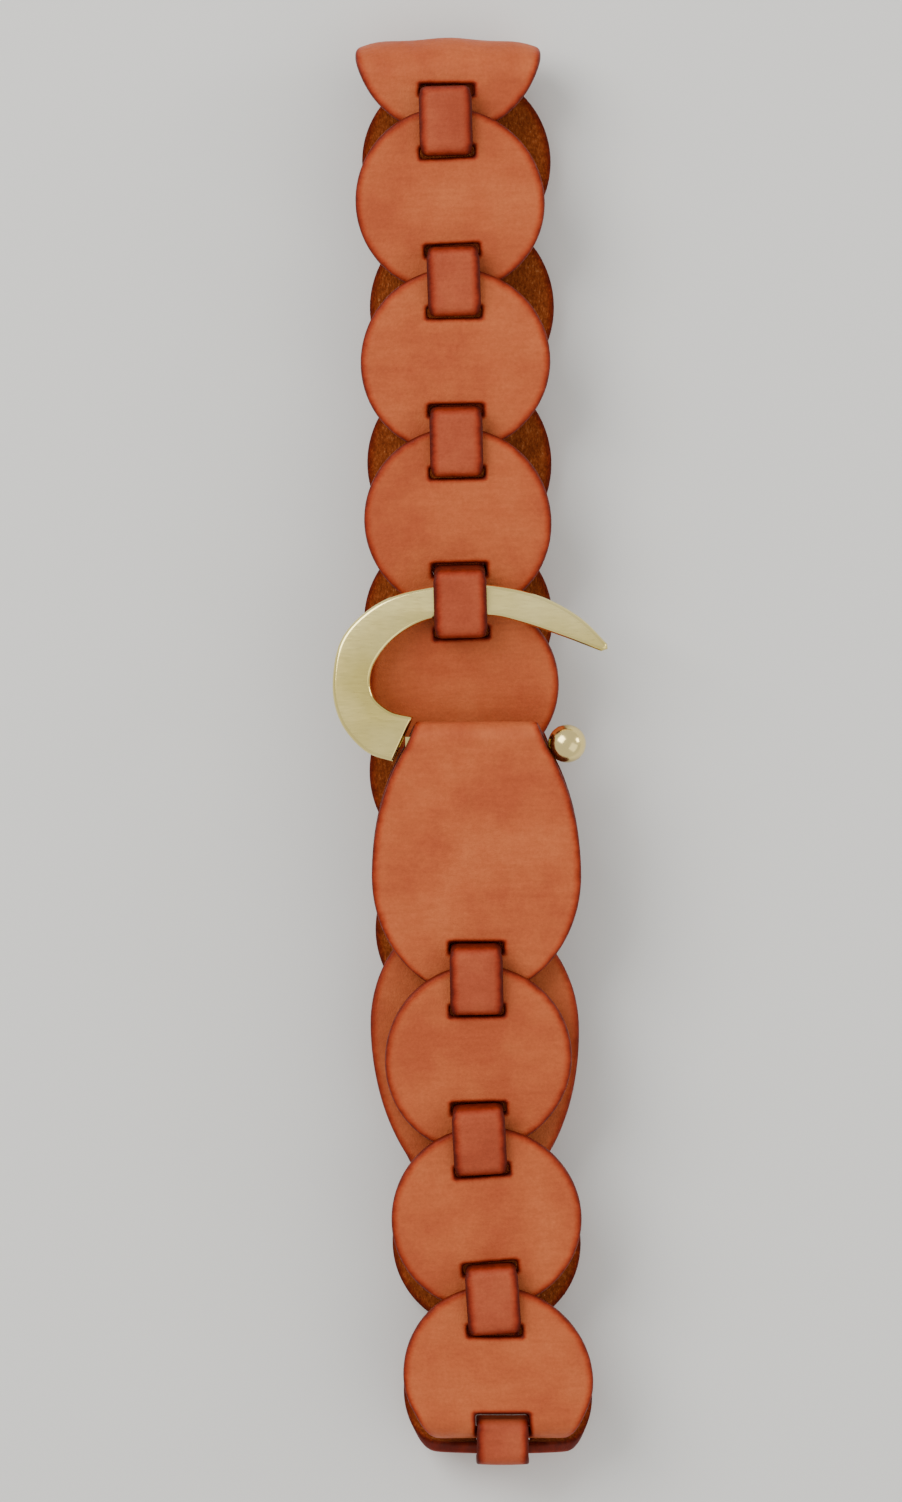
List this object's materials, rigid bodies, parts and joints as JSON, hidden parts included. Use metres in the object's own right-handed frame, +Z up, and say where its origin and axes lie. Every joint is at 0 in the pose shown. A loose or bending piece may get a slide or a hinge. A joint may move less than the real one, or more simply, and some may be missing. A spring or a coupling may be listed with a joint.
{
  "type": "leather belt",
  "caption": "Link belt of leather discs joined by leather strap rings, buckled flat with a brass sickle hook and a tucked tail.",
  "frame": {"origin": "on the surface the belt lies on, under the middle of its outer box", "axes": "+Z up out of the front run, +Y along the belt towards the top fold, +X across the belt towards the hook's ball"},
  "size_m": [0.075, 0.3904, 0.036],
  "materials": {
    "disc_leather": "vegetable-tanned leather, smooth grain outside and brown suede flesh inside, burnished edges",
    "strap_leather": "thinner vegetable-tanned leather, slightly redder, burnished edges",
    "brass": "pale gold brass, satin face with polished bevels"
  },
  "bodies": {
    "back_e": {"disc_back_e": "disc_leather", "strap_back_d_e": "strap_leather", "strap_back_e_f": "strap_leather"},
    "back_d": {"disc_back_d": "disc_leather", "strap_back_c_d": "strap_leather"},
    "back_c": {"disc_back_c": "disc_leather", "strap_back_b_c": "strap_leather"},
    "back_b": {"disc_back_b": "disc_leather", "strap_back_a_b": "strap_leather"},
    "back_a": {"disc_back_a": "disc_leather", "strap_back_top": "strap_leather"},
    "front_1": {"disc_front_1": "disc_leather", "strap_front_1": "strap_leather"},
    "front_2": {"disc_front_2": "disc_leather", "strap_front_2": "strap_leather"},
    "front_3": {"disc_front_3": "disc_leather", "strap_front_3": "strap_leather"},
    "front_4": {"disc_front_4": "disc_leather", "strap_front_4": "strap_leather"},
    "tail_5": {"disc_tail_5": "disc_leather", "strap_tail_5": "strap_leather"},
    "tail_6": {"disc_tail_6": "disc_leather", "strap_tail_6": "strap_leather"},
    "tail_end": {"tail_tab": "disc_leather"},
    "back_f": {"disc_back_f": "disc_leather", "strap_back_f_g": "strap_leather"},
    "back_g": {"disc_back_g": "disc_leather", "strap_back_g_h": "strap_leather"},
    "back_h": {"disc_back_h": "disc_leather", "strap_back_h_i": "strap_leather"},
    "back_i": {"disc_back_i": "disc_leather", "strap_bottom_8": "strap_leather"},
    "front_9": {"disc_front_9": "disc_leather", "strap_front_7": "strap_leather"},
    "front_8": {"disc_front_8": "disc_leather", "strap_front_6": "strap_leather"},
    "front_7": {"disc_front_7": "disc_leather", "strap_front_5": "strap_leather"},
    "buckle_end": {"buckle_tab": "disc_leather"},
    "hook": {"hook_plate": "brass", "hook_bar": "brass", "ball_end": "brass"}
  },
  "joints": [
    {"name": "turn_back_e_d", "type": "hinge", "parent": "back_e", "child": "back_d", "pos_m": [-0.00285, 0.01544, 0.00705], "axis": [1, 0, 0], "range_deg": [0, 2.6]},
    {"name": "turn_back_d_c", "type": "hinge", "parent": "back_d", "child": "back_c", "pos_m": [-0.00325, 0.05834, 0.00705], "axis": [1, 0, 0], "range_deg": [0, 1.98]},
    {"name": "turn_back_c_b", "type": "hinge", "parent": "back_c", "child": "back_b", "pos_m": [-0.00215, 0.10124, 0.00705], "axis": [1, 0, 0], "range_deg": [0, 2.58]},
    {"name": "turn_back_b_a", "type": "hinge", "parent": "back_b", "child": "back_a", "pos_m": [-0.00185, 0.14414, 0.00705], "axis": [1, 0, 0], "range_deg": [0, 1.71]},
    {"name": "turn_top_a_1", "type": "hinge", "parent": "back_a", "child": "front_1", "pos_m": [-0.00515, 0.18144, 0.00705], "axis": [1, 0, 0], "range_deg": [-5.95, 0]},
    {"name": "turn_front_1_2", "type": "hinge", "parent": "front_1", "child": "front_2", "pos_m": [-0.00655, 0.17254, 0.02475], "axis": [1, 0, 0], "range_deg": [-7.23, 0]},
    {"name": "turn_front_2_3", "type": "hinge", "parent": "front_2", "child": "front_3", "pos_m": [-0.00435, 0.12874, 0.02475], "axis": [1, 0, 0], "range_deg": [0, 0.647]},
    {"name": "turn_front_3_4", "type": "hinge", "parent": "front_3", "child": "front_4", "pos_m": [-0.00365, 0.08494, 0.02475], "axis": [1, 0, 0], "range_deg": [0, 2.42]},
    {"name": "turn_tail_4_5", "type": "hinge", "parent": "front_4", "child": "tail_5", "pos_m": [-0.00255, 0.04114, 0.02375], "axis": [1, 0, 0], "range_deg": [0, 3.45]},
    {"name": "turn_tail_5_6", "type": "hinge", "parent": "tail_5", "child": "tail_6", "pos_m": [-0.00065, -0.00416, 0.01745], "axis": [1, 0, 0], "range_deg": [0, 2.12]},
    {"name": "turn_tail_6_end", "type": "hinge", "parent": "tail_6", "child": "tail_end", "pos_m": [0.00085, -0.04716, 0.01745], "axis": [1, 0, 0], "range_deg": [0, 1.33]},
    {"name": "turn_back_e_f", "type": "hinge", "parent": "back_e", "child": "back_f", "pos_m": [-0.00155, -0.02746, 0.00705], "axis": [1, 0, 0], "range_deg": [-0.979, 0]},
    {"name": "turn_back_f_g", "type": "hinge", "parent": "back_f", "child": "back_g", "pos_m": [0.00075, -0.07036, 0.00705], "axis": [1, 0, 0], "range_deg": [-0.838, 0]},
    {"name": "turn_back_g_h", "type": "hinge", "parent": "back_g", "child": "back_h", "pos_m": [0.00305, -0.11326, 0.00705], "axis": [1, 0, 0], "range_deg": [-0.918, 0]},
    {"name": "turn_back_h_i", "type": "hinge", "parent": "back_h", "child": "back_i", "pos_m": [0.00635, -0.15616, 0.00705], "axis": [1, 0, 0], "range_deg": [0, 0.568]},
    {"name": "turn_bottom_i_9", "type": "hinge", "parent": "back_i", "child": "front_9", "pos_m": [0.00905, -0.18886, 0.01615], "axis": [1, 0, 0], "range_deg": [0, 5.9]},
    {"name": "turn_front_9_8", "type": "hinge", "parent": "front_9", "child": "front_8", "pos_m": [0.00635, -0.14956, 0.02525], "axis": [1, 0, 0], "range_deg": [0, 3.67]},
    {"name": "turn_front_8_7", "type": "hinge", "parent": "front_8", "child": "front_7", "pos_m": [0.00265, -0.10576, 0.02675], "axis": [1, 0, 0], "range_deg": [-1.29, 0]},
    {"name": "turn_front_7_tab", "type": "hinge", "parent": "front_7", "child": "buckle_end", "pos_m": [0.00185, -0.06196, 0.02875], "axis": [1, 0, 0], "range_deg": [-2.27, 0]},
    {"name": "turn_hook", "type": "hinge", "parent": "buckle_end", "child": "hook", "pos_m": [0.00205, 0.00224, 0.03075], "axis": [1, 0, 0], "range_deg": [-3, 0]}
  ],
  "couplings": [
    {"joint": "turn_back_d_c", "follows": "turn_back_e_d", "ratio": 0.746},
    {"joint": "turn_back_c_b", "follows": "turn_back_e_d", "ratio": 0.971},
    {"joint": "turn_back_b_a", "follows": "turn_back_e_d", "ratio": 0.646},
    {"joint": "turn_top_a_1", "follows": "turn_back_e_d", "ratio": -2.245},
    {"joint": "turn_front_1_2", "follows": "turn_back_e_d", "ratio": -2.727},
    {"joint": "turn_front_2_3", "follows": "turn_back_e_d", "ratio": 0.244},
    {"joint": "turn_front_3_4", "follows": "turn_back_e_d", "ratio": 0.912},
    {"joint": "turn_tail_4_5", "follows": "turn_back_e_d", "ratio": 1.3},
    {"joint": "turn_tail_5_6", "follows": "turn_back_e_d", "ratio": 0.8},
    {"joint": "turn_tail_6_end", "follows": "turn_back_e_d", "ratio": 0.5},
    {"joint": "turn_back_e_f", "follows": "turn_back_e_d", "ratio": -0.369},
    {"joint": "turn_back_f_g", "follows": "turn_back_e_d", "ratio": -0.316},
    {"joint": "turn_back_g_h", "follows": "turn_back_e_d", "ratio": -0.346},
    {"joint": "turn_back_h_i", "follows": "turn_back_e_d", "ratio": 0.214},
    {"joint": "turn_bottom_i_9", "follows": "turn_back_e_d", "ratio": 2.226},
    {"joint": "turn_front_9_8", "follows": "turn_back_e_d", "ratio": 1.383},
    {"joint": "turn_front_8_7", "follows": "turn_back_e_d", "ratio": -0.488},
    {"joint": "turn_front_7_tab", "follows": "turn_back_e_d", "ratio": -0.856},
    {"joint": "turn_hook", "follows": "turn_back_e_d", "ratio": -1.131}
  ]
}
